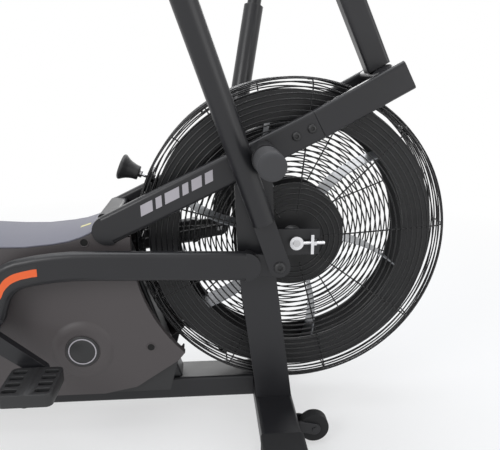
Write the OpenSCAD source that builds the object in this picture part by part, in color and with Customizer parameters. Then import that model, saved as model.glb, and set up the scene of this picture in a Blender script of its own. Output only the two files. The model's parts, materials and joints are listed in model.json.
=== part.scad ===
// Air bike: a wire-caged fan in a fork, a belt drive from the cranks, swing arms
// linked to the cranks, an adjustable saddle and a console on a mast.
// +X runs forward to the fan, +Y to the rider's left-hand far side, +Z up.
// Sizes are in millimetres. Points in the side plane are [x, z] from the fan axis.

/* [Fan and cage] */
// Height of the fan axle above the floor
fan_h = 410; // [395:1:500]
// Outer radius of the wire cage
guard_r = 325; // [315:1:340]
// Half width of the cage at its flat faces
guard_half = 75; // [72:1:95]
// Diameter of the cage wires
wire_d = 3; // [2.5:0.5:4]
// Spacing of the rings on the cage face
ring_pitch = 11; // [9:1:30]
// Number of ribs on each cage half
rib_count = 9; // [6:1:12]
// Outer radius of the fan wheel
fan_r = 300; // [285:1:305]
// Inner radius of the two rims of the fan wheel
fan_rim_in = 240; // [220:1:260]
// Radius of the fan hub flanges
hub_r = 110; // [90:1:130]
// Number of fan blades
blade_count = 6; // [4:1:9]
// Width of a fan blade across the wheel
blade_w = 80; // [60:1:84]
// Radius of the fan axle between its bearings
axle_r = 10; // [8:1:12]

/* [Crank and belt] */
// Distance of the crank axle behind the fan axle
crank_back = 654; // [640:1:680]
// Drop of the crank axle below the fan axle
crank_drop = 183; // [170:1:195]
// Length of a crank from its axle to the pedal
crank_len = 155; // [145:1:175]
// Angle of the left crank below the forward direction
crank_angle = 17; // [10:1:30]
// Radius of the circle that the link pins run on
pin_orbit = 58.2; // [50:0.1:62]
// Angle of the left link pin above the forward direction
pin_angle = 42; // [36:1:48]
// Radius of the crank axle
crank_axle_r = 10; // [8:1:14]
// Radius of the drive pulley
drive_r = 88; // [80:1:92]
// Radius of the fan pulley
small_r = 22; // [18:1:32]
// Width of the belt
belt_w = 12; // [8:1:14]
// Width of a pedal across the bike
pedal_w = 100; // [80:1:115]

/* [Swing arms] */
// Distance of the arm pivots behind the fan axle
pivot_back = 70; // [60:1:90]
// Height of the arm pivots above the fan axle
pivot_up = 180; // [170:1:200]
// Diameter of the arm tubes
arm_d = 45; // [38:1:50]
// Distance of the arm tube behind its pivot
arm_offset = 43; // [40:1:50]
// Distance of the link bolt below the pivot, along the arm
arm_drop = 215; // [200:1:230]
// Length of the arm tube above the pivot
arm_up = 300; // [220:1:360]
// Outward tilt of the arms
arm_splay = 10; // [6:1:12]
// Diameter of the handle tubes
handle_d = 32; // [28:1:34]
// Length of the handle above the arm tube
handle_up = 200; // [150:1:260]
// Length of the foam grips
grip_len = 190; // [150:1:210]
// Length of a link rod between its two pins
link_len = 582; // [579:0.5:586]
// Height of the link tube
link_deep = 58; // [44:1:60]
// Thickness of the link tube
link_thick = 26; // [22:1:28]
// Diameter of the foot pegs
peg_d = 50; // [40:1:54]
// Length of the foot pegs
peg_len = 94; // [90:1:130]

/* [Frame] */
// Thickness of the rails and legs across the bike
rail_thick = 25; // [20:1:30]
// Height of the rail tube
rail_deep = 58; // [50:1:64]
// Slope of the rails
rail_angle = 26; // [24:1:28]
// Slope of the arms of the front bracket
bracket_angle = 28.5; // [26:0.5:31]
// Width of the front legs seen from the side
leg_deep = 75; // [60:1:80]
// Wall of the frame tubes
tube_wall = 2.5; // [2:0.5:4]
// Width of the base beam
beam_w = 80; // [70:1:90]
// Height of the base beam
beam_h = 50; // [40:1:52]
// Length of each stabilizer
stab_len = 580; // [500:1:640]
// Width of the stabilizer tubes
stab_w = 80; // [60:1:90]
// Height of the stabilizer tubes
stab_h = 40; // [36:1:44]
// Thickness of the rubber under a stabilizer tube
foot_under = 22; // [20:1:26]
// Diameter of the transport wheels
wheel_d = 60; // [50:1:64]

/* [Seat] */
// Backward lean of the seat tube
seat_lean = 4; // [0:1:6]
// Size of the square seat tube
seat_tube_w = 60; // [56:1:66]
// Size of the square seat post
post_w = 50; // [44:1:50]
// Top of the seat tube above the fan axle
seat_tube_top = 90; // [60:1:140]
// Height of the saddle rail above the seat tube
post_out = 250; // [220:1:300]
// Length of the saddle
saddle_len = 250; // [220:1:270]
// Width of the saddle
saddle_w = 230; // [180:1:260]

/* [Console and covers] */
// Length of the console mast
mast_len = 470; // [400:1:540]
// Backward lean of the console mast
mast_lean = 25; // [18:1:28]
// Width of the mast
mast_w = 50; // [46:1:54]
// Width of the console
console_w = 210; // [180:1:240]
// Half width of the drive shroud
shroud_half = 97; // [92:1:99]
// Wall of the plastic covers
cover_wall = 3; // [2:0.5:4]

/* [Hidden] */

run_fit = 0.05;
seat_gap = 0.3;
foot_w = stab_w + 4;

// Side-plane places
crank = [-crank_back, -crank_drop];
pivot = [-pivot_back, pivot_up];
rail_rear = -374;
rail_front = 40;
beam_top = -guard_r - 5;
beam_mid = beam_top - beam_h / 2;
stab_top = foot_under + stab_h - fan_h;
stab_mid = stab_top - stab_h / 2;
leg_foot_x = -41;
rear_stab_x = -980;
front_stab_x = leg_foot_x;
fan_x = (foot_w / 2 - rear_stab_x - guard_r) / 2;

// Planes across the bike
rail_in = guard_half + wire_d / 2 + seat_gap;
rail_out = rail_in + rail_thick;
rail_mid = (rail_in + rail_out) / 2;
web_in = 104;
web_out = 116;
link_y = 135;
pin_gap = 0.5;
crank_arm_in = link_y + link_thick / 2 + 5;
crank_arm_t = 16;
pedal_in = crank_arm_in + crank_arm_t + 6;
paddle_in = link_y + 1.5;
paddle_t = 10;
belt_y = 57.7;

function rail_at(x) = [x, pivot[1] + (x - pivot[0]) * tan(rail_angle)];
function polar(r, a) = r * [cos(a), sin(a)];
function arc(c, r, a0, a1, n = 12) = [for (i = [0 : n]) c + polar(r, a0 + (a1 - a0) * i / n)];
function turned(p, a) = [p[0] * cos(a) - p[1] * sin(a), p[0] * sin(a) + p[1] * cos(a)];

// The bolt at the foot of an arm lies where two circles cross: one round the
// pivot and one, of the link's length, round the crank pin.
arm_reach = norm([arm_offset, arm_drop]);
arm_own_angle = atan2(-arm_drop, -arm_offset);
function pin_at(s) = crank + polar(pin_orbit, (s < 0 ? 0 : 180) + pin_angle);
function bolt_at(s) =
    let (p = pin_at(s), d = norm(p - pivot), toward = atan2(p[1] - pivot[1], p[0] - pivot[0]),
        open = acos((arm_reach ^ 2 + d ^ 2 - link_len ^ 2) / (2 * arm_reach * d)))
    pivot + polar(arm_reach, toward + open);
function arm_lean(s) = let (b = bolt_at(s) - pivot) atan2(b[1], b[0]) - arm_own_angle;

// A link runs level from its bolt, bows gently, then turns down to its eye
link_eye_drop = 122;
link_eye = [-sqrt(link_len ^ 2 - link_eye_drop ^ 2), -link_eye_drop];
link_bow_x = link_eye[0] + 203;
link_bow_r = 560;
link_bow = 13;
link_turn_r = 75;
link_dip = 72;
link_bow_c = [link_bow_x, -link_bow_r];
link_turn_c = link_bow_c + polar(link_bow_r - link_turn_r, 90 + link_bow);
link_tail = link_turn_c + polar(link_turn_r, 90 + link_dip);
link_tail_end = link_tail + polar(38, 180 + link_dip);
function link_turn(s) =
    let (d = pin_at(s) - bolt_at(s)) atan2(d[1], d[0]) - atan2(link_eye[1], link_eye[0]);

// ---------- shared shapes ----------
module in_frame() translate([fan_x, 0, fan_h]) children();
module on_side(s) if (s < 0) mirror([0, 1, 0]) children(); else children();
module at(p) translate([p[0], 0, p[1]]) children();

// Outline in the side plane, made solid between two planes across the bike
module slab(y0, y1) translate([0, y1, 0]) rotate([90, 0, 0]) linear_extrude(y1 - y0) children();

// Round bar across the bike
module bar(r, y0, y1, n = 48) translate([0, y0, 0]) rotate([-90, 0, 0]) cylinder(r = r, h = y1 - y0, $fn = n);

module ring_bar(r_out, r_in, y0, y1) difference() {
    bar(r_out, y0, y1);
    bar(r_in, y0 - 1, y1 + 1);
}

module rounded_rect(w, h, r) {
    square([w - 2 * r, h], center = true);
    square([w, h - 2 * r], center = true);
    for (x = [-1, 1], y = [-1, 1])
        translate([x * (w / 2 - r), y * (h / 2 - r)]) circle(r, $fn = 32);
}

module tube_section(w, h, r, wall) difference() {
    rounded_rect(w, h, r);
    rounded_rect(w - 2 * wall, h - 2 * wall, r - wall);
}

// Points the Z axis along the line from a to b in the side plane
module along(a, b) at(a) rotate([0, 90 - atan2(b[1] - a[1], b[0] - a[0]), 0]) children();

// Box tube from a to b in the side plane
module box_tube(a, b, deep, thick, r = 6, wall = tube_wall)
    along(a, b) linear_extrude(norm(b - a)) tube_section(deep, thick, r, wall);

module box_bar(a, b, deep, thick, r = 6)
    along(a, b) linear_extrude(norm(b - a)) rounded_rect(deep, thick, r);

// Flat bar with two round ends in the side plane
function bar_outline(a, b, ra, rb, side) = concat(arc(a, ra, side, side + 180, 16), arc(b, rb, side - 180, side, 16));
module flat_bar(a, b, ra, rb, y0, y1)
    slab(y0, y1) polygon(bar_outline(a, b, ra, rb, atan2(b[1] - a[1], b[0] - a[0]) + 90));

// Button-head screw across the bike: shank from y0 to y1 and its head beyond
module cross_screw(r, y0, y1, head_r, head_h) {
    bar(r, y0, y1, 32);
    translate([0, y1, 0]) rotate([-90, 0, 0]) cylinder(r1 = head_r, r2 = head_r * 0.7, h = head_h, $fn = 32);
}

// ---------- frame ----------
module base_beam() color([0.1, 0.1, 0.11])
    box_tube([rear_stab_x + stab_w / 2, beam_mid], [front_stab_x - stab_w / 2, beam_mid], beam_h, beam_w, 6);

module stabilizer(x) translate([x, stab_len / 2, stab_mid]) rotate([90, 0, 0])
    linear_extrude(stab_len) tube_section(stab_w, stab_h, 8, tube_wall);
module stabilizers() color([0.1, 0.1, 0.11]) {
    stabilizer(front_stab_x);
    stabilizer(rear_stab_x);
}

// Rubber boots over the stabilizer ends, down to the floor
boot_len = 60;
module stabilizer_feet() color([0.05, 0.05, 0.05])
    for (x = [front_stab_x, rear_stab_x], s = [-1, 1]) on_side(s)
        translate([x, stab_len / 2 + 4, -fan_h]) rotate([90, 0, 0]) difference() {
            linear_extrude(boot_len) translate([0, (foot_under + stab_h + 3) / 2])
                rounded_rect(foot_w, foot_under + stab_h + 3, 6);
            translate([0, foot_under + stab_h / 2, 4]) linear_extrude(boot_len)
                rounded_rect(stab_w + 2 * run_fit, stab_h + 2 * run_fit, 8);
        }

riser_w = 46;
riser_foot = [-272, beam_top];
neck_deep = 40;
neck_at = rail_at(rail_rear);
neck_low = neck_at[1] - rail_deep / 2;
riser_head = [rail_rear - 10, neck_low + 18];
// Riser from the base beam up to the neck tube
module riser() difference() {
    box_tube(riser_foot + [14, -20], riser_head, riser_w, 60, 6);
    translate([-500, -100, beam_top - 200]) cube([500, 200, 200]);
    translate([rail_rear - 60, -100, neck_low]) cube([120, 200, 80]);
}

// Cross tube that joins the rear ends of the rails
module neck_cross()
    translate([rail_rear, rail_in, neck_at[1]]) rotate([90, 0, 0])
        linear_extrude(2 * rail_in) tube_section(neck_deep, rail_deep, 8, tube_wall);

module neck() color([0.1, 0.1, 0.11]) {
    riser();
    neck_cross();
}

module rail() {
    rear = rail_at(rail_rear);
    front = rail_at(rail_front);
    translate([0, rail_mid, 0]) {
        box_tube(rear, front, rail_deep, rail_thick, 8);
        // round closed rear end, with a plug that fills the tube mouth
        along(rear, front) linear_extrude(tube_wall) rounded_rect(rail_deep - 2 * tube_wall - 0.1,
            rail_thick - 2 * tube_wall - 0.1, 5.4);
    }
    at(rear) difference() {
        bar(rail_deep / 2, rail_in, rail_out);
        rotate([0, -rail_angle, 0]) translate([0, rail_in - 1, -rail_deep])
            cube([rail_deep, rail_thick + 2, 2 * rail_deep]);
    }
}
// Rail with the holes of its two bracket screws
module rail_bored() difference() {
    rail();
    for (p = screw_points) at(p) bar(4 + run_fit, rail_out - tube_wall - 1, rail_out + 1, 32);
}
module rails() color([0.1, 0.1, 0.11]) for (s = [-1, 1]) on_side(s) rail_bored();

leg_top = [-88, 168];
leg_kink = [-79, -60];
// Height of the line that runs a given distance under the rail's middle line
function rail_line(x, under) = rail_at(x)[1] - under / cos(rail_angle);
// Where a leg's edge, half a width from its middle, meets that line
function leg_head(half, under) =
    let (k = leg_kink + [half, 0], d = leg_top - leg_kink, m = tan(rail_angle),
        t = (rail_line(k[0], under) - k[1]) / (d[1] - m * d[0]))
    k + t * d;
function leg_outline(inset) =
    let (half = leg_deep / 2 - inset, under = rail_deep / 2 + inset, low = stab_top + inset)
    [[leg_foot_x - half, low], leg_kink - [half, 0], leg_head(-half, under),
        leg_head(half, under), leg_kink + [half, 0], [leg_foot_x + half, low]];
module leg() difference() {
    slab(rail_in, rail_out) polygon(leg_outline(0));
    slab(rail_in + tube_wall, rail_out - tube_wall) polygon(leg_outline(tube_wall));
}
module front_legs() color([0.1, 0.1, 0.11]) for (s = [-1, 1]) on_side(s) leg();

// Bottom-bracket shell on a beam from the riser to the seat tube
shell_r = 25;
shell_half = 45;
mid_deep = 50;
mid_z = -crank_drop - shell_r - mid_deep / 2 + 8;
seat_foot = [-840, beam_top];
function seat_at(z) = [seat_foot[0] - (z - seat_foot[1]) * tan(seat_lean), z];
module mid_beam() color([0.1, 0.1, 0.11]) difference() {
    box_tube([seat_foot[0], mid_z], [-300, mid_z], mid_deep, 44, 6);
    at(crank) bar(shell_r, -60, 60);
    along(riser_foot + [14, -20], riser_head) translate([-riser_w / 2, -50, -100]) cube([200, 100, 700]);
    along(seat_foot, seat_at(100)) translate([seat_tube_w / 2 - 200, -50, -100]) cube([200, 100, 700]);
}
module crank_housing() at(crank) {
    color([0.1, 0.1, 0.11]) ring_bar(shell_r, 20, -shell_half, shell_half);
    color("silver") for (s = [-1, 1]) on_side(s)
        ring_bar(20, crank_axle_r + run_fit, shell_half - 14, shell_half - 2);
}

seat_top = seat_at(seat_tube_top);
seat_pin_drop = 60;
seat_pin_at = seat_at(seat_tube_top - seat_pin_drop);
module seat_tube() color([0.1, 0.1, 0.11]) difference() {
    box_tube(seat_at(beam_top - 20), seat_top, seat_tube_w, seat_tube_w, 6);
    translate([-1000, -100, beam_top - 200]) cube([400, 200, 200]);
    at(seat_pin_at) rotate([0, -seat_lean, 0]) rotate([0, -90, 0]) cylinder(r = 6 + run_fit, h = 60, $fn = 32);
}

// Plastic bush in the mouth of the seat tube, with a lip on top
bush_w = seat_tube_w - 2 * tube_wall - 0.1;
module seat_bush() color([0.05, 0.05, 0.05]) at(seat_top) rotate([0, -seat_lean, 0]) difference() {
    union() {
        translate([0, 0, -50]) linear_extrude(50) rounded_rect(bush_w, bush_w, 3.4);
        linear_extrude(5) rounded_rect(seat_tube_w + 4, seat_tube_w + 4, 7);
    }
    translate([0, 0, -60]) linear_extrude(80) rounded_rect(post_w + 2 * seat_gap, post_w + 2 * seat_gap, 5);
}

// ---------- front bracket and console ----------
bracket_run = 148;
bracket_start = rail_at(rail_front);
bracket_end = bracket_start + polar(bracket_run, bracket_angle);
screw_points = [rail_at(-4), rail_at(26)];
tongue_len = 75;
bracket_front = 48;
bracket_gap = rail_deep / 2 * sin(bracket_angle - rail_angle) + seat_gap;
module front_bracket() color([0.1, 0.1, 0.11]) {
    for (s = [-1, 1]) on_side(s) translate([0, rail_mid, 0]) {
        box_tube(bracket_start + polar(bracket_gap, bracket_angle),
            bracket_end + polar(bracket_front, bracket_angle), rail_deep, rail_thick, 8);
        // closing plates set into both ends of the side tube
        for (t = [bracket_gap + 0.5, bracket_run + bracket_front - 3.5]) at(bracket_start + polar(t, bracket_angle))
            rotate([0, 90 - bracket_angle, 0]) linear_extrude(3) rounded_rect(rail_deep - 2, rail_thick - 2, 7);
        difference() {
            along(bracket_start + polar(3, rail_angle), rail_at(-60)) linear_extrude(tongue_len)
                rounded_rect(rail_deep - 2 * tube_wall - 0.2, rail_thick - 2 * tube_wall - 0.2, 5.4);
            for (p = screw_points) at(p) bar(4 + run_fit, -30, 30, 32);
        }
    }
    // the cross tube round the front of the cage
    at(bracket_end) rotate([0, -bracket_angle, 0]) translate([bracket_front / 2, rail_in + 1, 0])
        rotate([90, 0, 0]) linear_extrude(2 * rail_in + 2) tube_section(bracket_front - 2, rail_deep - 2, 10, tube_wall);
}
cover_screws = [[-420, 8], [-300, -222], [-760, -130]];
module frame_screws() color([0.08, 0.08, 0.08]) for (s = [-1, 1]) on_side(s) {
    for (p = screw_points) at(p) cross_screw(4, rail_out - 18, rail_out, 9, 5);
    for (p = cover_screws) at(p) cross_screw(2.5, shroud_half - 14, shroud_half, 6, 2.5);
}

mast_foot = bracket_end + polar(bracket_front / 2, bracket_angle) + polar(rail_deep / 2, bracket_angle + 90);
mast_dir = polar(1, 90 + mast_lean);
mast_top = mast_foot + mast_len * mast_dir;
module console_mast() color([0.1, 0.1, 0.11]) difference() {
    box_tube(mast_foot - 30 * mast_dir, mast_top, mast_w, 40, 8);
    at(bracket_end) rotate([0, -bracket_angle, 0])
        translate([-60, -60, rail_deep / 2 - 200]) cube([200, 120, 200]);
}

console_t = 34;
console_h = 150;
console_tilt = 35;
key_r = 7;
key_travel = 1;
key_x = -52;
key_step = 42;
module on_console() at(mast_top) rotate([0, -console_tilt, 0]) children();
module console() color([0.12, 0.12, 0.13]) difference() {
    on_console() difference() {
        translate([-console_h / 2, console_w / 2, console_t / 2 + 4]) rotate([90, 0, 0])
            translate([console_h / 2, 0, 0]) linear_extrude(console_w) rounded_rect(console_h, console_t, 8);
        translate([-30, -70, console_t + 1]) cube([80, 140, 10]);
        for (i = [-1 : 1]) translate([key_x, i * key_step, console_t - 4])
            cylinder(r = key_r + 0.4, h = 20, $fn = 32);
    }
    along(mast_foot, mast_top) translate([-mast_w / 2 - 0.1, -20.1, mast_len - 60]) cube([mast_w + 0.2, 40.2, 60.1]);
}
module console_screen() color([0.3, 0.36, 0.33]) on_console()
    translate([-29.8, -69.8, console_t + 1]) cube([79.6, 139.6, 2.4]);
module console_key(i) color([0.55, 0.55, 0.56]) on_console()
    translate([key_x, i * key_step, console_t - 4 + key_travel + 0.3]) cylinder(r = key_r, h = 10, $fn = 32);
module left_key() console_key(-1);
module middle_key() console_key(0);
module right_key() console_key(1);

// ---------- fan ----------
axle_end_r = 7;
plate_out = rail_out - 4;
plate_t = 6;
module fan_axle() color("silver") {
    bar(axle_r, -plate_out + plate_t, plate_out - plate_t);
    for (s = [-1, 1]) on_side(s) bar(axle_end_r, plate_out - plate_t, plate_out + 14);
}
// Plates on the legs that hold the fan axle
module axle_plates() for (s = [-1, 1]) on_side(s) difference() {
    translate([-70, plate_out - plate_t, -27]) cube([118, plate_t, 54]);
    bar(axle_end_r + run_fit, 0, 200, 32);
    slab(rail_in - 1, rail_out + 1) polygon(leg_outline(0));
}
tab_x = 27;
tab_t = 6;
eye_r = 14;
eye_in = -7.7;
eye_out = 4;
shank_l = 57;
tab_h = 40;
shank_r = 4;
shank_y = plate_out + 8;
module axle_tensioners() for (s = [-1, 1]) on_side(s) {
    color("silver") translate([0, shank_y, 0]) difference() {
        union() {
            bar(eye_r, eye_in, eye_out);
            rotate([0, 90, 0]) cylinder(r = shank_r, h = shank_l, $fn = 32);
        }
        bar(axle_end_r + run_fit, 3 * eye_in, 3 * eye_out);
    }
    color([0.7, 0.7, 0.7]) difference() {
        union() {
            translate([tab_x, plate_out, -tab_h / 2]) cube([tab_t, 22, tab_h]);
            translate([tab_x + tab_t - 0.5, shank_y, 0]) rotate([0, 90, 0]) cylinder(r = 7.5, h = 7.5, $fn = 6);
        }
        translate([0, shank_y, 0]) rotate([0, 90, 0]) cylinder(r = shank_r + run_fit, h = 2 * shank_l, $fn = 32);
    }
}

flange_t = 3;
module fan_bearings() color("silver") for (s = [-1, 1]) on_side(s)
    ring_bar(21, axle_r + run_fit, blade_w / 2 - 14, blade_w / 2 - 2);
module fan_hub() color([0.06, 0.06, 0.07]) difference() {
    union() {
        bar(30, -blade_w / 2, blade_w / 2);
        for (s = [-1, 1]) on_side(s) bar(hub_r, blade_w / 2, blade_w / 2 + flange_t, 96);
    }
    bar(axle_r + 4, -100, 100);
    for (s = [-1, 1]) on_side(s) bar(21, blade_w / 2 - 14, blade_w / 2 + 10);
}
blade_in = 31;
blade_t = 2;
blade_first = 36;
blade_arc_r = 260;
// Each blade is a slice of a ring wall, so it bows between the hub and the rims
module blade() {
    chord = fan_r - 3 - blade_in;
    half = asin(chord / 2 / blade_arc_r);
    translate([blade_in + chord / 2, 0, -blade_arc_r * cos(half)]) rotate([90, 0, 0])
        translate([0, 0, -blade_w / 2]) rotate([0, 0, 90 - half])
            rotate_extrude(angle = 2 * half, $fn = 96) translate([blade_arc_r - blade_t, 0]) square([blade_t, blade_w]);
}
module fan_blades() color([0.42, 0.43, 0.45])
    for (i = [0 : blade_count - 1]) rotate([0, -(blade_first + 360 / blade_count * i), 0]) blade();
module fan_rims() color([0.05, 0.05, 0.06]) for (s = [-1, 1]) on_side(s) difference() {
    bar(fan_r, blade_w / 2, blade_w / 2 + flange_t, 96);
    bar(fan_rim_in, 0, 100, 96);
}
module fan_pulley() color("silver") difference() {
    union() {
        bar(small_r, belt_y - belt_w / 2 - 1, belt_y + belt_w / 2 + 1);
        bar(small_r - 5, blade_w / 2 + flange_t, belt_y);
    }
    bar(axle_r + 3, 0, 100);
}

// ---------- belt drive ----------
belt_t = 4;
drive_line = atan2(crank_drop, crank_back);
drive_dist = norm(crank);
wrap = acos((drive_r - small_r) / drive_dist);
function belt_line(gap) = concat(arc(crank, drive_r + gap, drive_line + wrap, drive_line + 360 - wrap, 48),
    arc([0, 0], small_r + gap, drive_line - wrap, drive_line + wrap, 20));
module belt() color([0.04, 0.04, 0.04]) difference() {
    slab(belt_y - belt_w / 2, belt_y + belt_w / 2) polygon(belt_line(seat_gap + belt_t));
    slab(belt_y - belt_w, belt_y + belt_w) polygon(belt_line(seat_gap));
}
module drive_pulley() color([0.3, 0.3, 0.31]) at(crank) difference() {
    union() {
        bar(drive_r, belt_y - belt_w / 2 - 2, belt_y + belt_w / 2 + 2, 96);
        bar(24, shell_half + 1, belt_y);
    }
    bar(crank_axle_r, 0, 100);
    for (a = [0 : 60 : 300]) at(polar(56, a)) bar(18, 0, 100);
}

// ---------- crank ----------
module crank_axle() color("silver") at(crank) bar(crank_axle_r, -web_out, web_out);
module crank_webs() color([0.1, 0.1, 0.11]) for (s = [-1, 1]) on_side(s) difference() {
    flat_bar(crank, pin_at(s), 26, 20, web_in, web_out);
    at(crank) bar(crank_axle_r, 0, 200);
}
function pedal_at(s) = crank + polar(crank_len, (s < 0 ? 0 : 180) - crank_angle);
spindle_r = 7;
module crank_arms() color([0.1, 0.1, 0.11]) for (s = [-1, 1]) on_side(s) {
    difference() {
        flat_bar(pin_at(s), pedal_at(s), 17, 14, crank_arm_in, crank_arm_in + crank_arm_t);
        at(pedal_at(s)) bar(spindle_r, 100, 200);
    }
    color("silver") at(pedal_at(s)) bar(spindle_r, crank_arm_in, pedal_in + pedal_w - 4, 32);
}
pedal_l = 96;
pedal_t = 24;
module pedal(s) color([0.04, 0.04, 0.04]) on_side(s) at(pedal_at(s)) difference() {
    union() {
        bar(13, pedal_in, pedal_in + pedal_w);
        translate([0, pedal_in + pedal_w / 2, -pedal_t / 2]) linear_extrude(pedal_t)
            rounded_rect(pedal_l, pedal_w, 12);
    }
    bar(spindle_r + run_fit, pedal_in - 1, pedal_in + pedal_w - 3, 32);
    for (x = [-1, 1], i = [-1.5 : 1.5])
        translate([x * 29, pedal_in + pedal_w / 2 + i * 22, -50]) linear_extrude(100) rounded_rect(26, 12, 4);
}
module left_pedal() pedal(-1);
module right_pedal() pedal(1);

// ---------- swing arms ----------
hub_in = rail_out + 3;
hub_out = 178;
pivot_r = 12;
arm_low = -118;
arm_low_y = paddle_in + paddle_t / 2;
module arm_axis() translate([-arm_offset, arm_low_y, arm_low]) rotate([-arm_splay, 0, 0]) children();
arm_tube_len = (arm_up - arm_low) / cos(arm_splay);
bend_back = 50;
module in_arm(s) on_side(s) at(pivot) rotate([0, -arm_lean(s), 0]) children();
module arm(s) color([0.1, 0.1, 0.11]) in_arm(s) {
    difference() {
        union() {
            arm_axis() cylinder(d = arm_d, h = arm_tube_len, $fn = 48);
            bar(26, hub_in, hub_out);
            translate([-arm_offset, 0, -arm_drop]) {
                bar(21, paddle_in, paddle_in + paddle_t);
                translate([-21, paddle_in, 0]) cube([42, paddle_t, arm_drop + arm_low + 12]);
            }
        }
        arm_axis() translate([0, 0, 25]) cylinder(d = arm_d - 2 * tube_wall, h = arm_tube_len, $fn = 48);
        bar(pivot_r + run_fit, 0, 300);
        translate([-arm_offset, 0, -arm_drop]) bar(8 + run_fit, 0, 300, 32);
    }
    arm_axis() translate([0, 0, arm_tube_len - 100]) {
        cylinder(d = handle_d, h = 100 + handle_up, $fn = 48);
        difference() {
            cylinder(d = arm_d - 2 * tube_wall, h = 100, $fn = 48);
            translate([0, 0, -1]) cylinder(d = handle_d - 1, h = 102, $fn = 48);
        }
        translate([0, 0, 100 + handle_up]) {
            sphere(d = handle_d, $fn = 48);
            rotate([0, -bend_back, 0]) cylinder(d = handle_d, h = grip_len + 20, $fn = 48);
        }
    }
}
module left_arm() arm(-1);
module right_arm() arm(1);
grip_t = 5;
module grip(s) color([0.03, 0.03, 0.03]) in_arm(s)
    arm_axis() translate([0, 0, arm_tube_len + handle_up]) rotate([0, -bend_back, 0]) translate([0, 0, 18]) difference() {
        cylinder(d = handle_d + 2 * grip_t, h = grip_len + 8, $fn = 48);
        translate([0, 0, -1]) cylinder(d = handle_d + 2 * run_fit, h = grip_len + 3.2, $fn = 48);
    }
module left_grip() grip(-1);
module right_grip() grip(1);

peg_in = hub_out + 5 + seat_gap;
// Stub axles welded to the rails for the arms, with their washers
module arm_pivots() for (s = [-1, 1]) on_side(s) at(pivot) {
    bar(pivot_r, rail_out, peg_in + peg_len - 8);
    bar(20, rail_out, hub_in - 1, 48);
    difference() {
        bar(27, hub_out + 1, hub_out + 5);
        bar(pivot_r, 0, 300);
    }
}
module foot_pegs() color([0.25, 0.25, 0.26]) for (s = [-1, 1]) on_side(s) at(pivot) difference() {
    union() {
        bar(peg_d / 2, peg_in, peg_in + peg_len - 3);
        translate([0, peg_in + peg_len - 3, 0]) rotate([-90, 0, 0])
            cylinder(r1 = peg_d / 2, r2 = peg_d / 2 - 3, h = 3, $fn = 48);
    }
    bar(pivot_r + run_fit, 0, peg_in + peg_len - 7.9);
}

// ---------- link rods ----------
link_plate_in = paddle_in - 9.5;
module in_link(s) on_side(s) at(bolt_at(s)) rotate([0, -link_turn(s), 0]) children();
pin_r = 10;
module link_arc(c, r, a0, a1) at(c) rotate([90, 0, 0]) rotate([0, 0, 90 + a0])
    rotate_extrude(angle = a1 - a0, $fn = 96) translate([r, 0]) tube_section(link_deep, link_thick, 11, tube_wall);
module link(s) color([0.1, 0.1, 0.11]) in_link(s) difference() {
    union() {
        translate([0, link_y, 0]) {
            box_tube([link_bow_x, 0], [-66, 0], link_deep, link_thick, 11);
            link_arc(link_bow_c, link_bow_r, 0, link_bow);
            link_arc(link_turn_c, link_turn_r, link_bow, link_dip);
            box_tube(link_tail_end, link_tail, link_deep, link_thick, 11);
        }
        at([-66, 0]) difference() {
            bar(link_deep / 2, link_y - link_thick / 2, link_y + link_thick / 2);
            translate([-60, 0, -50]) cube([60, 300, 100]);
        }
        flat_bar([-70, 0], [0, 0], 24, 22, link_plate_in, link_plate_in + 8);
        at(link_eye) bar(25, link_y - link_thick / 2, link_y + link_thick / 2);
        // web between the end of the tube and the eye
        slab(link_y - 12, link_y + 12) polygon([link_eye + polar(24.5, -40), link_tail_end + polar(28, link_dip - 90),
            link_tail_end + polar(8, link_dip), link_tail_end + polar(28, link_dip + 90), link_eye + polar(24.5, 190)]);
    }
    bar(8 + run_fit, 100, 200, 32);
    at(link_eye) bar(pin_r + run_fit, 100, 200);
}
module link_pin(s) color("silver") in_link(s) at(link_eye) bar(pin_r, web_out + pin_gap, crank_arm_in - pin_gap);
module left_link() {
    link(-1);
    link_pin(-1);
}
module right_link() {
    link(1);
    link_pin(1);
}
module link_bolt(s) color([0.1, 0.1, 0.1]) in_arm(s) translate([-arm_offset, 0, -arm_drop]) {
    cross_screw(8, link_plate_in - 9, paddle_in + paddle_t, 12, 6);
    difference() {
        translate([0, link_plate_in - 8.6, 0]) rotate([-90, 0, 0]) cylinder(r = 13, h = 8, $fn = 6);
        bar(8, 0, 200, 32);
    }
}

module left_link_bolt() link_bolt(-1);
module right_link_bolt() link_bolt(1);

// ---------- cage ----------
corner_r = 28;
face_out = guard_r - wire_d / 2 - corner_r;
ring_first = 62;
rib_shift = wire_d + run_fit;
module wire_ring(r, y) translate([0, y, 0]) rotate([90, 0, 0])
    rotate_extrude($fn = 96) translate([r, 0]) circle(d = wire_d, $fn = 16);
module ribs(first) for (i = [0 : rib_count - 1]) rotate([0, -(first + 360 / rib_count * i), 0]) children();
module guard_face(first) {
    for (r = [ring_first : ring_pitch : face_out]) wire_ring(r, guard_half);
    ribs(first) translate([ring_first - 8, guard_half - rib_shift, 0]) rotate([0, 90, 0])
        cylinder(d = wire_d, h = face_out - ring_first + 8, $fn = 16);
}
rim_low = guard_half - corner_r;
rim_last = 8;
module guard_rim(first, corner_angles) {
    for (a = corner_angles) wire_ring(face_out + corner_r * sin(a), rim_low + corner_r * cos(a));
    for (y = [rim_low - 13 : -13 : rim_last - 1]) wire_ring(guard_r - wire_d / 2, y);
    ribs(first) {
        translate([face_out, rim_low, 0]) rotate_extrude(angle = 90, $fn = 64)
            translate([corner_r - rib_shift, 0]) circle(d = wire_d, $fn = 16);
        translate([face_out + corner_r - rib_shift, 3, 0]) rotate([-90, 0, 0])
            cylinder(d = wire_d, h = rim_low - 3, $fn = 16);
    }
}
rib_near = 84;
rib_far = 62;
module left_guard_face() color([0.05, 0.05, 0.06]) on_side(-1) guard_face(rib_near);
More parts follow.
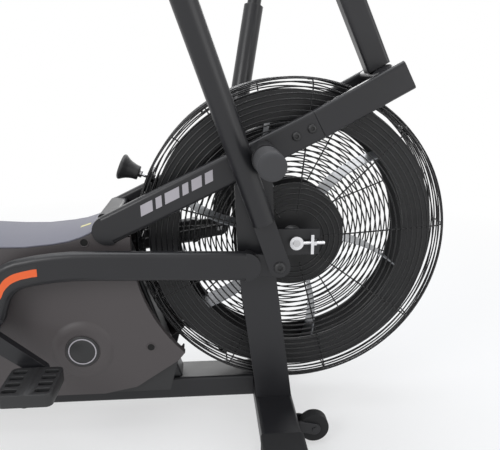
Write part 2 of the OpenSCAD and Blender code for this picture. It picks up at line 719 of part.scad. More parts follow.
module right_guard_face() color([0.05, 0.05, 0.06]) guard_face(rib_far);
module left_guard_rim() color([0.05, 0.05, 0.06]) on_side(-1) guard_rim(rib_near, [20, 43, 66, 90]);
module right_guard_rim() color([0.05, 0.05, 0.06]) guard_rim(rib_far, [20, 40, 90]);

clip_angles = [126, 41, -39, -118];
clip_in = guard_r - wire_d - 5.4;
module guard_clips() for (a = clip_angles) rotate([0, -a, 0]) {
    translate([clip_in + 2, -12, -9]) cube([3, 24, 18]);
    // stud and ball, turned in one piece
    rotate([0, 90, 0]) rotate_extrude($fn = 32) polygon(concat([[0, clip_in - 4], [2.5, clip_in - 4],
        [2.5, clip_in + 4.4]], arc([0, clip_in + 5.2], 4.6, -10, 90, 8)));
}

// ---------- lock pin ----------
lock_angle = 158;
lock_r = 4;
lock_tip = fan_r + 5;
knob_at = guard_r + 18;
carrier_r = guard_r - wire_d - 3 * seat_gap - 4;
module lock_pin() rotate([0, -lock_angle, 0]) rotate([0, 90, 0]) {
    color("silver") translate([0, 0, lock_tip]) cylinder(r = lock_r, h = knob_at - lock_tip, $fn = 32);
    color([0.04, 0.04, 0.04]) translate([0, 0, knob_at]) {
        cylinder(r1 = 15, r2 = 27, h = 34, $fn = 48);
        translate([0, 0, 34]) cylinder(r1 = 27, r2 = 22, h = 9, $fn = 48);
    }
}
// Plate inside the cage that carries the lock pin
module pin_carrier() rotate([0, -lock_angle, 0]) difference() {
    union() {
        translate([carrier_r, -32, -18]) cube([4, 64, 36]);
        translate([carrier_r - 8, 0, 0]) rotate([0, 90, 0]) cylinder(r = 9, h = 10, $fn = 32);
    }
    rotate([0, 90, 0]) cylinder(r = lock_r + run_fit, h = 400, $fn = 32);
}

module guard_fittings() color([0.08, 0.08, 0.09]) {
    guard_clips();
    pin_carrier();
}

// ---------- covers ----------
shroud_front = guard_r + 6;
shroud_low = beam_top + 4;
cover_t = 4;
valley = [[-745, 16], [-700, 12], [-650, 8], [-590, 4], [-535, 3], [-480, 8], [-450, 13], [-425, 21], [-404, 31]];
tip = polar(shroud_front, 226);
lip = tip + [-14, -17];
lip_low = [-333, -313];
skirt_drop = 0.36;
outline = concat([for (p = valley) p - [0, cover_t]], arc([0, 0], shroud_front, 177, 225, 14),
    [tip, lip, lip_low, [-400, shroud_low]],
    arc([-crank_back - 10, shroud_low + 130], 130, 270, 180, 10), arc([-748, -42], 50, 180, 100, 6));
module shroud_half() difference() {
    union() {
        slab(0.2, shroud_half) polygon(outline);
        at(cap_at) translate([0, shroud_half, 0]) rotate([-90, 0, 0]) cylinder(r1 = 62, r2 = 46, h = 5, $fn = 64);
    }
    slab(-1, shroud_half - cover_wall) offset(delta = -cover_wall) polygon(outline);
    bar(shroud_front + cover_wall + 1, -1, guard_half + wire_d + 2, 96);
    translate([-420, -1, -400]) cube([260, 51, 500]);
    translate([-900, -1, mid_z - mid_deep / 2 - 2]) cube([200, 25, mid_deep + 4]);
    at(crank) bar(crank_axle_r + 4, 0, 200);
    for (p = cover_screws) at(p) bar(2.5 + run_fit, shroud_half - 2 * cover_wall, shroud_half + 1, 32);
    rail_pocket();
}
// Room for the rear end of a rail and for its half of the neck tube
module rail_pocket() {
    room = 2 * seat_gap;
    translate([0, rail_mid, 0])
        box_bar(rail_at(rail_rear), rail_at(rail_rear + 300), rail_deep + room, rail_thick + room, 8);
    at(neck_at) bar(rail_deep / 2 + room, rail_in - seat_gap, rail_out + seat_gap, 48);
    at(neck_at) slab(-1, rail_in) square([neck_deep + 2 * room, rail_deep + 2 * room], center = true);
}
cap_at = [-439, -223];
module left_shroud() color([0.31, 0.3, 0.3]) on_side(-1) shroud_half();
module right_shroud() color([0.31, 0.3, 0.3]) shroud_half();
module top_cover() color([0.55, 0.55, 0.6]) slab(-shroud_half, shroud_half)
    polygon(concat(valley, [for (i = [len(valley) - 1 : -1 : 0]) valley[i] - [0, cover_t - 0.2]]));
// Recessed panels between the shroud and the base beam
module shroud_skirts() color([0.12, 0.12, 0.12]) for (s = [-1, 1]) on_side(s)
    slab(82, 86) polygon([lip - [0, skirt_drop], lip_low - [0, skirt_drop],
        [-398, beam_top + seat_gap], [-264, beam_top + seat_gap]]);
module cap_discs() color([0.05, 0.05, 0.05]) for (s = [-1, 1]) on_side(s) at(cap_at)
    bar(32, shroud_half + 5, shroud_half + 8, 64);

// ---------- transport wheels ----------
wheel_x = front_stab_x + stab_w / 2 + wheel_d / 2 + 4;
wheel_z = wheel_d / 2 + 5 - fan_h;
wheel_y = 170;
wheel_w = 22;
wheel_pin_r = 5;
wheel_side = wheel_w / 2 + 1;
module wheel(s) color([0.06, 0.06, 0.06]) on_side(s) translate([wheel_x, wheel_y, wheel_z])
    ring_bar(wheel_d / 2, wheel_pin_r + run_fit, -wheel_w / 2, wheel_w / 2);
module left_wheel() wheel(-1);
module right_wheel() wheel(1);

// Ears on the front stabilizer, with the pin of each wheel
module wheel_ears() for (s = [-1, 1]) on_side(s) translate([0, wheel_y, 0]) {
    for (e = [-1, 1]) on_side(e) difference() {
        flat_bar([front_stab_x + stab_w / 2 + 4, stab_mid], [wheel_x, wheel_z], 12, 12, wheel_side, wheel_side + 4);
        translate([front_stab_x - stab_w / 2, -100, -600]) cube([stab_w, 200, 500]);
        at([wheel_x, wheel_z]) bar(wheel_pin_r, 0, 100, 32);
    }
    at([wheel_x, wheel_z]) bar(wheel_pin_r, -wheel_side - 6, wheel_side + 6, 32);
}

module frame_lugs() color([0.1, 0.1, 0.11]) {
    axle_plates();
    arm_pivots();
    wheel_ears();
}

// ---------- seat ----------
post_dir = polar(1, 90 + seat_lean);
post_low = 160;
post_top = seat_top + (post_out - 30) * post_dir;
module seat_post() color([0.12, 0.12, 0.13]) {
    difference() {
        box_tube(seat_top - post_low * post_dir, post_top + 10 * post_dir, post_w, post_w, 5);
        translate([post_top[0] - 100, -100, post_top[1]]) cube([200, 200, 100]);
    }
    // saddle rail across the top of the post
    translate([post_top[0] - 95, 0, post_top[1] + rail_bar_h / 2]) rotate([90, 0, 90])
        linear_extrude(190) tube_section(rail_bar_w, rail_bar_h, 4, tube_wall);
}
module seat_knob() color([0.04, 0.04, 0.04]) at(seat_pin_at) rotate([0, -seat_lean, 0]) rotate([0, -90, 0]) {
    translate([0, 0, post_w / 2 + 0.5]) cylinder(r = 6, h = 24, $fn = 32);
    translate([0, 0, post_w / 2 + 24]) cylinder(r1 = 14, r2 = 21, h = 26, $fn = 48);
}
saddle_x = post_top[0] + 12;
rail_bar_h = 26;
rail_bar_w = 40;
carriage_t = 5;
carriage_h = 30;
saddle_z = post_top[1] + rail_bar_h + seat_gap + carriage_t;
module saddle_outline(grow) hull() {
    for (y = [-1, 1]) translate([-saddle_len / 2 + 70, y * (saddle_w / 2 - 70)]) circle(70 + grow, $fn = 32);
    translate([saddle_len / 2 - 45, 0]) circle(45 + grow, $fn = 32);
}
// Saddle pan with the carriage that slides on the saddle rail
module saddle_base() color([0.05, 0.05, 0.05]) {
    translate([saddle_x, 0, saddle_z]) linear_extrude(14) saddle_outline(-8);
    translate([saddle_x - 45, 0, saddle_z]) difference() {
        translate([0, -rail_bar_w / 2 - seat_gap - carriage_t, -carriage_h])
            cube([90, rail_bar_w + 2 * (seat_gap + carriage_t), carriage_h]);
        translate([-1, -rail_bar_w / 2 - seat_gap, -60])
            cube([92, rail_bar_w + 2 * seat_gap, 60 - carriage_t]);
    }
}
module saddle_knob() color([0.04, 0.04, 0.04]) translate([saddle_x, 0, saddle_z - 21]) {
    bar(5, -rail_bar_w / 2 - carriage_t - 16, -rail_bar_w / 2 - carriage_t - seat_gap, 32);
    bar(18, -rail_bar_w / 2 - carriage_t - 34, -rail_bar_w / 2 - carriage_t - 16);
}
module saddle_pad() color([0.06, 0.06, 0.06]) translate([saddle_x, 0, saddle_z + 14 + seat_gap]) hull() {
    linear_extrude(20) saddle_outline(0);
    linear_extrude(56) saddle_outline(-22);
}

in_frame() base_beam();
in_frame() stabilizers();
in_frame() stabilizer_feet();
in_frame() neck();
in_frame() rails();
in_frame() front_legs();
in_frame() mid_beam();
in_frame() crank_housing();
in_frame() seat_tube();
in_frame() seat_bush();
in_frame() frame_lugs();
in_frame() front_bracket();
in_frame() frame_screws();
in_frame() console_mast();
in_frame() console();
in_frame() console_screen();
in_frame() left_key();
in_frame() middle_key();
in_frame() right_key();
in_frame() fan_axle();
in_frame() axle_tensioners();
in_frame() fan_bearings();
in_frame() fan_hub();
in_frame() fan_blades();
in_frame() fan_rims();
in_frame() fan_pulley();
in_frame() belt();
in_frame() left_guard_face();
in_frame() right_guard_face();
in_frame() left_guard_rim();
in_frame() right_guard_rim();
in_frame() guard_fittings();
in_frame() crank_axle();
in_frame() drive_pulley();
in_frame() crank_webs();
in_frame() crank_arms();
in_frame() left_pedal();
in_frame() right_pedal();
in_frame() left_arm();
in_frame() right_arm();
in_frame() left_grip();
in_frame() right_grip();
in_frame() foot_pegs();
in_frame() left_link();
in_frame() right_link();
in_frame() left_link_bolt();
in_frame() right_link_bolt();
in_frame() lock_pin();
in_frame() left_shroud();
in_frame() right_shroud();
in_frame() top_cover();
in_frame() shroud_skirts();
in_frame() cap_discs();
in_frame() left_wheel();
in_frame() right_wheel();
in_frame() seat_post();
in_frame() seat_knob();
in_frame() saddle_base();
in_frame() saddle_knob();
in_frame() saddle_pad();
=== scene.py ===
# Looks of the air bike: surfaces, rounded covers, a stitched saddle, trim, light and camera.
# Everything is in metres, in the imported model's frame: +X forward, +Z up, -Y the near side.
import json
import math

import bmesh
import bpy
from mathutils import Matrix, Vector
from mathutils.bvhtree import BVHTree


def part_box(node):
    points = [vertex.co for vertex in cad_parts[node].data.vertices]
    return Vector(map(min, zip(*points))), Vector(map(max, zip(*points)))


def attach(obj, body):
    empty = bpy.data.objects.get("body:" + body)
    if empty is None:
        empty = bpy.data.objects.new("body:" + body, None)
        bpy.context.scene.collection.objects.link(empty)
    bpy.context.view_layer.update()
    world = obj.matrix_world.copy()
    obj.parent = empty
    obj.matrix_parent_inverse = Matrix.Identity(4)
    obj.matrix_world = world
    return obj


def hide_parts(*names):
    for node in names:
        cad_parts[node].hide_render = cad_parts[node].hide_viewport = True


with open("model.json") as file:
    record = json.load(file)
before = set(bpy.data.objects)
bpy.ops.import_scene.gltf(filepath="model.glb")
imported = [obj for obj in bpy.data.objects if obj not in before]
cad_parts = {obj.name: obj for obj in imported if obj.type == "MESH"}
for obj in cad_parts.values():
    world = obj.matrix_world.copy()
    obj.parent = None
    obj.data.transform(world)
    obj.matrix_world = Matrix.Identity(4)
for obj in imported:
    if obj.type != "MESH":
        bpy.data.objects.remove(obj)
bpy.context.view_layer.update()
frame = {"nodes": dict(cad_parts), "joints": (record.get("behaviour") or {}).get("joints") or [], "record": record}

NODES = frame["nodes"]
JOINTS = {joint["name"]: joint for joint in frame["joints"]}
BODY_OF = {node: body for body, nodes in frame["record"]["behaviour"]["bodies"].items() for node in nodes}
SLOT_OF = {part["node"]: part["material_slot"] for part in frame["record"]["subparts"]}
SIDES = {"left": -1, "right": 1}
MM = 0.001


def middle(node):
    low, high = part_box(node)
    return (low + high) / 2


def joint_place(name):
    return Vector(JOINTS[name]["pos_m"])


FAN = middle("fan_hub")


# ---------- surfaces ----------
class Surface:
    """A Principled material with a texture for its grain and slow patches for its colour and gloss."""

    def __init__(self, name, colour, rough, metal=0.0, **sockets):
        self.material = bpy.data.materials.new(name)
        self.material.use_nodes = True
        self.tree = self.material.node_tree
        self.shader = self.tree.nodes["Principled BSDF"]
        self.shader.inputs["Metallic"].default_value = metal
        for socket, value in sockets.items():
            self.shader.inputs[socket.replace("_", " ")].default_value = value
        self.colour, self.rough = Vector(colour), rough
        self.coords = self.tree.nodes.new("ShaderNodeTexCoord").outputs["Object"]
        self.normal = None
        self.tint = None

    def node(self, kind, inputs=(), **settings):
        made = self.tree.nodes.new("ShaderNode" + kind)
        for key, value in settings.items():
            setattr(made, key, value)
        for socket, value in dict(inputs).items():
            if isinstance(value, bpy.types.NodeSocket):
                self.tree.links.new(value, made.inputs[socket])
            else:
                made.inputs[socket].default_value = value
        return made

    def stretched(self, scale):
        return self.node("Mapping", {"Vector": self.coords, "Scale": scale}).outputs["Vector"]

    def noise(self, scale, detail=3.0, stretch=(1, 1, 1)):
        sockets = {"Vector": self.stretched(stretch), "Scale": scale, "Detail": detail}
        return self.node("TexNoise", sockets).outputs["Fac"]

    def cells(self, scale):
        sockets = {"Vector": self.coords, "Scale": scale}
        return self.node("TexVoronoi", sockets, feature="SMOOTH_F1").outputs["Distance"]

    def bands(self, scale, axis):
        sockets = {"Vector": self.coords, "Scale": scale}
        return self.node("TexWave", sockets, bands_direction=axis).outputs["Fac"]

    def range(self, value, low, high, to_low, to_high):
        inputs = {"Value": value, "From Min": low, "From Max": high, "To Min": to_low, "To Max": to_high}
        return self.node("MapRange", inputs).outputs["Result"]

    def mixed(self, factor, first, second):
        made = self.node("Mix", data_type="RGBA")
        self.tree.links.new(factor, made.inputs["Factor"])
        for socket, value in ((made.inputs[6], first), (made.inputs[7], second)):
            if isinstance(value, bpy.types.NodeSocket):
                self.tree.links.new(value, socket)
            else:
                socket.default_value = (*value, 1)
        return made.outputs[2]

    def bump(self, height, depth):
        inputs = {"Height": height, "Distance": depth, "Strength": 1.0}
        if self.normal:
            inputs["Normal"] = self.normal
        self.normal = self.node("Bump", inputs).outputs["Normal"]
        return self

    def rounded(self, radius):
        self.normal = self.node("Bevel", {"Radius": radius}, samples=4).outputs["Normal"]
        return self

    def patches(self, scale=7.0, spread=0.15):
        slow = self.noise(scale)
        self.tint = self.mixed(slow, self.colour * (1 - spread), self.colour * (1 + spread))
        rough = self.range(slow, 0.3, 0.7, self.rough * (1 - spread), self.rough * (1 + spread))
        self.tree.links.new(rough, self.shader.inputs["Roughness"])
        return self

    def wear_and_painted_highlight(self, colour, radius=0.0016, amount=0.5):
        """Lighter where an edge is sharp and the slow noise lets it through: edge wear, and partly a painted edge
        highlight.
        """
        soft = self.node("Bevel", {"Radius": radius}, samples=4).outputs["Normal"]
        sharp = self.node("NewGeometry").outputs["Normal"]
        facing = self.node("VectorMath", {0: soft, 1: sharp}, operation="DOT_PRODUCT").outputs["Value"]
        edge = self.range(facing, 0.995, 0.8, 0.0, amount)
        uneven = self.range(self.noise(60.0), 0.45, 0.6, 0.15, 1.0)
        wear_and_highlight_mask = self.node("Math", {0: edge, 1: uneven}, operation="MULTIPLY")
        self.tint = self.mixed(wear_and_highlight_mask.outputs[0], self.tint, colour)
        return self

    def done(self):
        if self.tint:
            self.tree.links.new(self.tint, self.shader.inputs["Base Color"])
        else:
            self.shader.inputs["Base Color"].default_value = (*self.colour, 1)
        if not self.shader.inputs["Roughness"].is_linked:
            self.shader.inputs["Roughness"].default_value = self.rough
        if self.normal:
            self.tree.links.new(self.normal, self.shader.inputs["Normal"])
        return self.material


def frame_paint():
    s = Surface("frame_paint", (0.012, 0.012, 0.014), 0.36, Specular_IOR_Level=0.45)
    # Lighter edge colour: edge wear, and partly a painted edge highlight.
    s.patches(6.0, 0.2).wear_and_painted_highlight((0.05, 0.05, 0.055), amount=0.5)
    return s.rounded(1.5 * MM).bump(s.noise(950.0, 2.0), 0.03 * MM).done()


def wire_paint():
    s = Surface("wire_paint", (0.006, 0.006, 0.007), 0.24, Specular_IOR_Level=0.4)
    return s.patches(20.0, 0.2).bump(s.noise(500.0, 2.0), 0.01 * MM).done()


def rubber(name, shade, grain=1400.0, depth=0.05):
    s = Surface(name, (shade, shade, shade * 1.06), 0.72, Specular_IOR_Level=0.3)
    return s.patches(9.0, 0.14).rounded(1.0 * MM).bump(s.noise(grain, 4.0), depth * MM).done()


def foam():
    s = Surface("foam", (0.014, 0.014, 0.015), 0.92, Specular_IOR_Level=0.2)
    return s.patches(14.0, 0.2).bump(s.cells(620.0), 0.35 * MM).done()


def moulded(name, colour, rough, grain=1700.0, depth=0.04, rounding=1.2, **sockets):
    s = Surface(name, colour, rough, **sockets)
    # Lighter edge colour on the mouldings: edge wear, and partly a painted edge highlight.
    s.patches(5.0, 0.07).wear_and_painted_highlight([c * 1.7 + 0.01 for c in colour], amount=0.25)
    return s.rounded(rounding * MM).bump(s.cells(grain), depth * MM).done()


def zinc():
    s = Surface("zinc", (0.55, 0.55, 0.56), 0.3, metal=1.0)
    return s.patches(40.0, 0.14).rounded(0.5 * MM).bump(s.noise(700.0, 2.0), 0.01 * MM).done()


def threaded_chrome():
    s = Surface("threaded_chrome", (0.74, 0.74, 0.76), 0.14, metal=1.0)
    s.patches(60.0, 0.12).rounded(0.6 * MM)
    return s.bump(s.bands(310.0, "X"), 0.12 * MM).done()


def chrome():
    s = Surface("chrome", (0.76, 0.76, 0.78), 0.1, metal=1.0)
    return s.patches(30.0, 0.1).rounded(0.4 * MM).done()


def blade_sheet():
    s = Surface("blade_sheet", (0.33, 0.34, 0.36), 0.36, metal=0.85)
    return s.patches(18.0, 0.12).bump(s.noise(90.0, 3.0, (1, 14, 1)), 0.03 * MM).done()


def casting():
    s = Surface("casting", (0.17, 0.17, 0.18), 0.46, metal=0.8)
    return s.patches(24.0, 0.2).rounded(0.6 * MM).bump(s.noise(420.0, 4.0), 0.08 * MM).done()


def belt_rubber():
    s = Surface("belt_rubber", (0.015, 0.015, 0.016), 0.62, Specular_IOR_Level=0.3)
    return s.patches(12.0, 0.2).bump(s.bands(130.0, "Y"), 0.5 * MM).done()


def leather():
    s = Surface("leather", (0.016, 0.016, 0.017), 0.46, Specular_IOR_Level=0.45)
    s.patches(16.0, 0.18).bump(s.cells(430.0), 0.16 * MM)
    return s.bump(s.noise(30.0, 4.0), 0.5 * MM).done()


def window():
    s = Surface("window", (0.2, 0.24, 0.2), 0.08, Coat_Weight=0.6, Coat_Roughness=0.04)
    return s.patches(9.0, 0.05).rounded(0.6 * MM).bump(s.bands(260.0, "Y"), 0.006 * MM).done()


def printed(name, colour, rough=0.42):
    s = Surface(name, colour, rough, Specular_IOR_Level=0.4)
    return s.patches(30.0, 0.05).bump(s.noise(1500.0, 2.0), 0.01 * MM).done()


MATERIALS = {
    "frame_black": frame_paint(),
    "wire_black": wire_paint(),
    "rubber": rubber("boot_rubber", 0.016),
    "peg_rubber": rubber("peg_rubber", 0.052, 900.0, 0.06),
    "foam": foam(),
    "zinc": zinc(),
    "chrome": threaded_chrome(),
    "fan_black": moulded("fan_paint", (0.008, 0.008, 0.009), 0.42, 900.0, 0.015),
    "blade": blade_sheet(),
    "shroud": moulded("shroud_plastic", (0.062, 0.054, 0.055), 0.5, 1500.0, 0.05),
    "cover": moulded("cover_plastic", (0.14, 0.14, 0.175), 0.44, 1500.0, 0.04),
    "black_plastic": moulded("black_plastic", (0.016, 0.016, 0.017), 0.46),
    "console": moulded("console_plastic", (0.022, 0.022, 0.024), 0.5, 1100.0, 0.08),
    "screen": window(),
    "key": moulded("key_rubber", (0.2, 0.2, 0.21), 0.6),
    "belt": belt_rubber(),
    "pulley": casting(),
    "saddle": leather(),
    "tyre": rubber("tyre_rubber", 0.014, 800.0, 0.08),
}
PLAIN_CHROME = chrome()
PALE_PRINT = printed("pale_print", (0.42, 0.4, 0.43))
ORANGE_PRINT = printed("orange_print", (0.82, 0.13, 0.03))
BLACK_PRINT = printed("black_print", (0.02, 0.02, 0.021), 0.35)
YELLOW_PRINT = printed("yellow_print", (0.72, 0.66, 0.3))
# Near-black: painted shade in the cover screw wells, and the real dark print of the display bars.
WELL_SHADE_AND_LCD_INK = printed("well_shade_and_lcd_ink", (0.004, 0.004, 0.004), 0.8)

for node, thing in NODES.items():
    thing.data.materials.clear()
    thing.data.materials.append(MATERIALS[SLOT_OF[node]])


# ---------- making pieces ----------
def add_piece(name, mesh, material, body, replaces=(), sharp=40):
    mesh.materials.clear()
    mesh.materials.append(material)
    mesh.shade_smooth()
    mesh.set_sharp_from_angle(angle=math.radians(sharp))
    piece = bpy.data.objects.new(name, mesh)
    bpy.context.scene.collection.objects.link(piece)
    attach(piece, body)
    for node in replaces:
        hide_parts(node)
    return piece


def mesh_of(verts, faces, name="piece"):
    mesh = bpy.data.meshes.new(name)
    mesh.from_pydata([tuple(v) for v in verts], [], faces)
    bm = bmesh.new()
    bm.from_mesh(mesh)
    bmesh.ops.remove_doubles(bm, verts=bm.verts, dist=1e-6)
    bmesh.ops.recalc_face_normals(bm, faces=bm.faces)
    bm.to_mesh(mesh)
    bm.free()
    return mesh


def pointing(place, axis, forward=(1, 0, 0)):
    """Matrix whose Z runs along axis from place, with its X as near to forward as it can be."""
    z = Vector(axis).normalized()
    x = (Vector(forward) - Vector(forward).dot(z) * z).normalized()
    return Matrix.Translation(place) @ Matrix((x, z.cross(x), z)).transposed().to_4x4()


def lathe(profile, where, steps=64, wobble=None):
    """Mesh turned from (radius, height) points about where's Z. wobble changes radii by angle and height."""
    verts, faces = [], []
    for r, h in profile:
        for i in range(steps):
            a = math.tau * i / steps
            rr = r * (1 + (wobble(a, h) if wobble else 0))
            verts.append(where @ Vector((rr * math.cos(a), rr * math.sin(a), h)))
    for k in range(len(profile) - 1):
        for i in range(steps):
            j = (i + 1) % steps
            faces.append((k * steps + i, k * steps + j, (k + 1) * steps + j, (k + 1) * steps + i))
    for k, turn in ((0, -1), (len(profile) - 1, 1)):
        if profile[k][0] > 1e-6:
            faces.append([k * steps + i for i in range(steps)][::turn])
    return mesh_of(verts, faces)


def curve_through(points, between=6):
    """Catmull-Rom curve through 2-D or 3-D points."""
    ends = [points[0], *points, points[-1]]
    out = []
    for a, b, c, d in zip(ends, ends[1:], ends[2:], ends[3:]):
        a, b, c, d = map(Vector, (a, b, c, d))
        for i in range(between):
            t = i / between
            square, cube = 2 * a - 5 * b + 4 * c - d, 3 * b - a - 3 * c + d
            out.append(0.5 * (2 * b + (c - a) * t + square * t * t + cube * t ** 3))
    return out + [Vector(points[-1])]


def sweep(points, radius, closed=False, sides=10, ripple=0.0, pitch=3.0):
    """Tube along points. A ripple makes the scales of a weld bead, one every pitch points."""
    count = len(points)
    verts, faces = [], []
    side = Vector((0.31, 0.52, 0.79))
    for i, p in enumerate(points):
        ahead = points[(i + 1) % count] if closed or i + 1 < count else p
        behind = points[i - 1] if closed or i else p
        along = (ahead - behind).normalized()
        side = (side - side.dot(along) * along).normalized()
        up = along.cross(side)
        r = radius * (1 + ripple * abs(math.sin(math.pi * i / pitch)))
        for k in range(sides):
            a = math.tau * k / sides
            verts.append(p + r * (math.cos(a) * side + math.sin(a) * up))
    for i in range(count if closed else count - 1):
        j = (i + 1) % count
        for k in range(sides):
            m = (k + 1) % sides
            faces.append((i * sides + k, i * sides + m, j * sides + m, j * sides + k))
    if not closed:
        faces.append(list(range(sides))[::-1])
        faces.append([(count - 1) * sides + k for k in range(sides)])
    return mesh_of(verts, faces)


def slab(outline, where, thick, bevel=0.0):
    """Flat plate: an outline in where's XY plane, thick along its Z, with rounded edges."""
    bm = bmesh.new()
    face = bm.faces.new([bm.verts.new((x, y, 0)) for x, y in outline])
    top = bmesh.ops.extrude_face_region(bm, geom=[face])["geom"]
    bmesh.ops.translate(bm, verts=[v for v in top if isinstance(v, bmesh.types.BMVert)], vec=(0, 0, thick))
    if bevel:
        bmesh.ops.bevel(bm, geom=list(bm.edges), offset=bevel, segments=2, profile=0.5, affect="EDGES")
    bmesh.ops.recalc_face_normals(bm, faces=bm.faces)
    bm.transform(where)
    mesh = bpy.data.meshes.new("slab")
    bm.to_mesh(mesh)
    bm.free()
    return mesh


def islands(node):
    """Box of each separate solid in a CAD node."""
    bm = bmesh.new()
    bm.from_mesh(NODES[node].data)
    bmesh.ops.remove_doubles(bm, verts=bm.verts, dist=1e-6)
    left, boxes = set(bm.verts), []
    while left:
        group, front = set(), [left.pop()]
        while front:
            v = front.pop()
            group.add(v)
            for e in v.link_edges:
                w = e.other_vert(v)
                if w in left:
                    left.discard(w)
                    front.append(w)
        low = Vector(min(v.co[i] for v in group) for i in range(3))
        high = Vector(max(v.co[i] for v in group) for i in range(3))
        boxes.append((low, high))
    bm.free()
    return boxes


def softened(node, width, wanted, segments=4, name=None):
    """Copy of a CAD node with the hard edges that wanted picks rounded off. It stands for the node."""
    bm = bmesh.new()
    bm.from_mesh(NODES[node].data)
    bmesh.ops.remove_doubles(bm, verts=bm.verts, dist=1e-6)
    bmesh.ops.dissolve_limit(bm, angle_limit=math.radians(0.8), verts=bm.verts, edges=bm.edges)
    edges = [e for e in bm.edges if len(e.link_faces) == 2 and e.is_convex and wanted(e)]
    bmesh.ops.bevel(bm, geom=edges, offset=width, segments=segments, profile=0.5, affect="EDGES",
                    clamp_overlap=True)
    mesh = bpy.data.meshes.new(node)
    bm.to_mesh(mesh)
    bm.free()
    return add_piece(name or node + "_shell", mesh, MATERIALS[SLOT_OF[node]], BODY_OF[node], [node], 35)


def angle_over(limit):
    return lambda e: e.calc_face_angle(0) > math.radians(limit)


# ---------- covers ----------
SHROUD_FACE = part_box("top_cover")[1].y


def outer_rim(e):
    """Edge of a shroud's side plate along its own outline, not along a screw hole."""
    if any(abs(abs(v.co.y) - SHROUD_FACE) > 0.1 * MM for v in e.verts) or e.calc_face_angle(0) < 1.0:
        return False
    depths = [max(abs(v.co.y) for v in f.verts) - min(abs(v.co.y) for v in f.verts) for f in e.link_faces]
    return max(depths) > 10 * MM


def covers():
    for side in SIDES:
        softened(f"{side}_shroud", 8 * MM, outer_rim)
    cap = {round(low.y < 0): (low, high) for low, high in islands("cap_discs")}
    for side, s in SIDES.items():
        low, high = cap[round(s < 0)]
        place = Vector(((low.x + high.x) / 2, s * SHROUD_FACE, (low.z + high.z) / 2))
        where = pointing(place, (0, s, 0))
        boss = curve_through([(0.066, -0.0005), (0.0625, 0.0006), (0.057, 0.0034), (0.051, 0.0054),
                              (0.046, 0.0062)])
        boss += [(0.0362, 0.0062), (0.0352, 0.0052), (0.0345, 0.0040), (0.0, 0.0040)]
        add_piece(f"{side}_boss", lathe(boss, where, 96), MATERIALS["shroud"], "frame")
        disc = [(0.0, 0.0046), (0.0335, 0.0046), (0.0335, 0.0068), (0.0325, 0.0076), (0.0, 0.0079)]
        add_piece(f"{side}_cap", lathe(disc, where, 96), MATERIALS["black_plastic"], "frame", ["cap_discs"])
        ring = [(0.0285, 0.0072), (0.0285, 0.0081), (0.0262, 0.0082), (0.0262, 0.0072), (0.0285, 0.0072)]
        add_piece(f"{side}_cap_ring", lathe(ring, where, 96), PALE_PRINT, "frame")


covers()


# ---------- screws ----------
def button_head(radius, height, where):
    """Domed head with a hexagon socket."""
    steps = 48
    rings = [(1.0, -0.1), (1.0, 0.2), (0.95, 0.5), (0.8, 0.82), (0.62, 1.0)]
    verts, faces = [], []

    def add_ring(size, level, corners=False):
        for i in range(steps):
            a = math.tau * i / steps
            r = size * radius
            if corners:
                r /= math.cos((a + math.pi / 6) % (math.pi / 3) - math.pi / 6)
            verts.append(where @ Vector((r * math.cos(a), r * math.sin(a), level * height)))

    for size, level in rings:
        add_ring(size, level)
    add_ring(0.42, 1.0, True)
    add_ring(0.40, 0.35, True)
    for k in range(len(rings) + 1):
        for i in range(steps):
            j = (i + 1) % steps
            faces.append((k * steps + i, k * steps + j, (k + 1) * steps + j, (k + 1) * steps + i))
    faces.append([(len(rings) + 1) * steps + i for i in range(steps)])
    faces.append([i for i in range(steps)][::-1])
    return mesh_of(verts, faces)


def screw_well(radius, where):
    """Countersunk lip round a hole, and inside it a flat near-black disc of painted shade for the deep hole with a
    screw in it.
    """
    lip = [(radius * 1.35, -0.0003), (radius * 1.3, 0.0009), (radius * 1.1, 0.0012), (radius, 0.0008),
           (radius * 0.96, -0.0003)]
    return lathe(lip, where, 48), lathe([(radius, 0.0002), (0.0, 0.0003)], where, 48)


def screws():
    replaced = ["frame_screws"]
    for i, (low, high) in enumerate(sorted(islands("frame_screws"), key=lambda b: (b[0].y, b[0].x))):
        s = -1 if low.y < 0 else 1
        radius = (high.x - low.x) / 2
        outer = max(abs(low.y), abs(high.y))
        x, z = (low.x + high.x) / 2, (low.z + high.z) / 2
        if radius > 7 * MM:
            where = pointing((x, s * (outer - 5 * MM), z), (0, s, 0))
            head = button_head(radius, 5 * MM, where)
            add_piece(f"bracket_bolt_{i}", head, MATERIALS["black_plastic"], "frame", replaced)
        else:
            where = pointing((x, s * SHROUD_FACE, z), (0, s, 0))
            lip, well = screw_well(radius * 1.25, where)
            add_piece(f"cover_screw_lip_{i}", lip, MATERIALS["shroud"], "frame", replaced)
            # The flat near-black disc is painted shade for the deep screw hole.
            add_piece(f"cover_screw_{i}", well, WELL_SHADE_AND_LCD_INK, "frame")
        replaced = []
    for side, s in SIDES.items():
        low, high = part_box(f"{side}_link_bolt")
        place = joint_place(f"{side}_link_swing")
        inner, outer = sorted((abs(low.y), abs(high.y)))
        body = f"{side}_arm"
        where = pointing((place.x, s * (outer - 6 * MM), place.z), (0, s, 0))
        head = button_head(11.9 * MM, 6 * MM, where)
        add_piece(f"{side}_link_bolt_head", head, MATERIALS["black_plastic"], body, [f"{side}_link_bolt"])
        where = pointing((place.x, s * inner, place.z), (0, s, 0))
        long = outer - inner - 5.5 * MM
        shank = [(0, 0), (0.0072, 0), (0.008, 0.0008), (0.008, long), (0, long)]
        add_piece(f"{side}_link_bolt_shank", lathe(shank, where, 48), MATERIALS["zinc"], body)
        nut = [(0.0081, 0.0004), (0.0122, 0.0004), (0.013, 0.0014), (0.013, 0.0074), (0.0122, 0.0084),
               (0.0081, 0.0084)]
        add_piece(f"{side}_link_bolt_nut", lathe(nut, where, 6), MATERIALS["black_plastic"], body, sharp=25)


screws()


